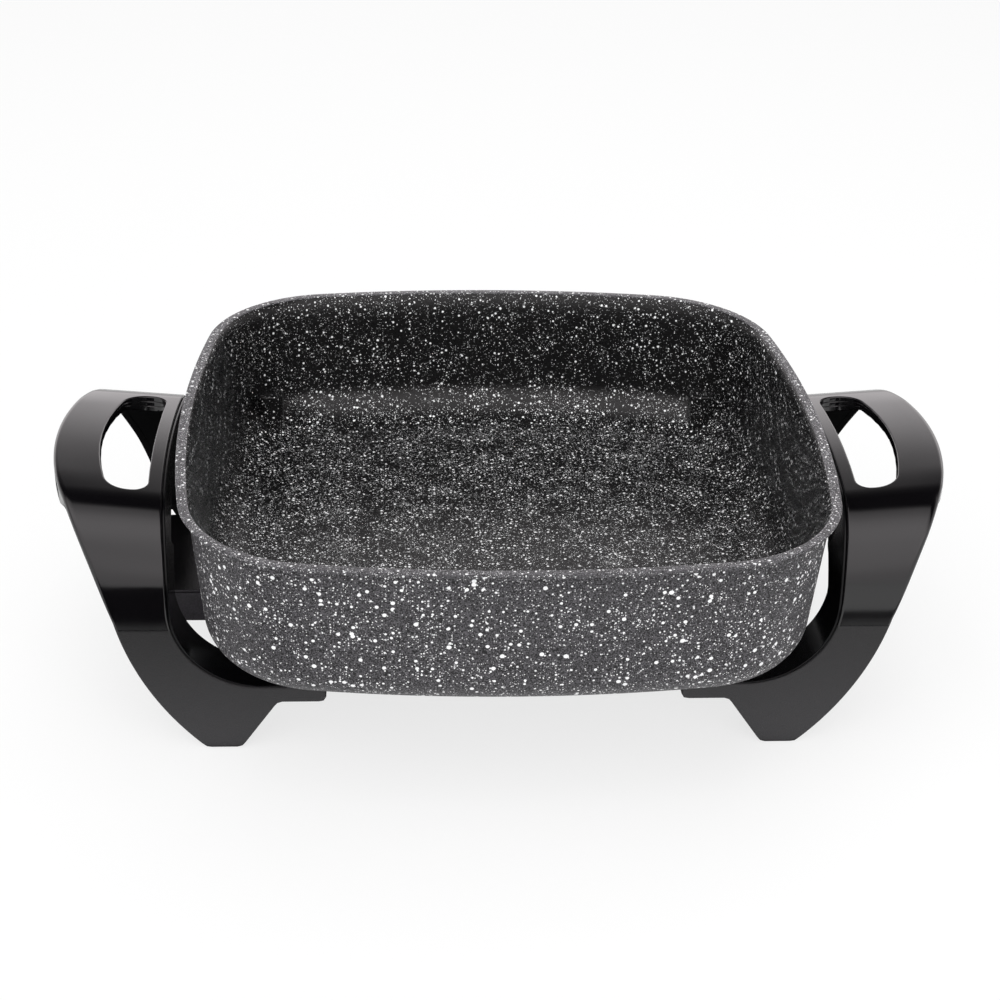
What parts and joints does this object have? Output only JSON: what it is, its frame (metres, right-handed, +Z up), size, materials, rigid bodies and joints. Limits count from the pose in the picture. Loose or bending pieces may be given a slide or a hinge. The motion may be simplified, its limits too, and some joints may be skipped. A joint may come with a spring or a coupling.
{
  "type": "electric skillet",
  "caption": "Deep square electric frying pan with a speckled coating, arched side handles that are also its legs, and a guarded socket for a plug-in control.",
  "frame": {"origin": "on the table under the middle of the pan, in the plane of the four foot pads", "axes": "+Z up, +X to the handle away from the socket, -Y to the side seen in the picture"},
  "size_m": [0.4356, 0.314, 0.1405],
  "materials": {
    "granite_coating": "semi-matt dark grey non-stick coating with white specks over cast metal",
    "cast_aluminium": "plain casting",
    "steel_tube": "heat-darkened steel tube",
    "magnesia": "pressed mineral powder",
    "plated_pin": "nickel-plated",
    "ceramic": "unglazed ceramic",
    "dark_moulding": "matt dark grey heat-proof moulding",
    "zinc_screw": "zinc-plated",
    "black_moulding": "glossy black above, fine matt grain on the legs",
    "gloss_black_moulding": "glossy black",
    "black_rubber": "matt"
  },
  "bodies": {
    "root": {"pan_body": "granite_coating", "element_casting": "cast_aluminium", "element_sheath": "steel_tube", "element_core": "magnesia", "terminal_pin_front": "plated_pin", "terminal_pin_rear": "plated_pin", "terminal_seal_front": "ceramic", "terminal_seal_rear": "ceramic", "probe_sleeve": "steel_tube", "socket_guard": "dark_moulding", "socket_guard_screw_front": "zinc_screw", "socket_guard_screw_rear": "zinc_screw", "left_handle_shell": "black_moulding", "left_handle_liner": "gloss_black_moulding", "right_handle_shell": "black_moulding", "right_handle_liner": "gloss_black_moulding", "handle_screw_front_left": "zinc_screw", "handle_washer_front_left": "zinc_screw", "foot_pad_front_left": "black_rubber", "handle_screw_front_right": "zinc_screw", "handle_washer_front_right": "zinc_screw", "foot_pad_front_right": "black_rubber", "handle_screw_rear_left": "zinc_screw", "handle_washer_rear_left": "zinc_screw", "foot_pad_rear_left": "black_rubber", "handle_screw_rear_right": "zinc_screw", "handle_washer_rear_right": "zinc_screw", "foot_pad_rear_right": "black_rubber"}
  },
  "joints": []
}
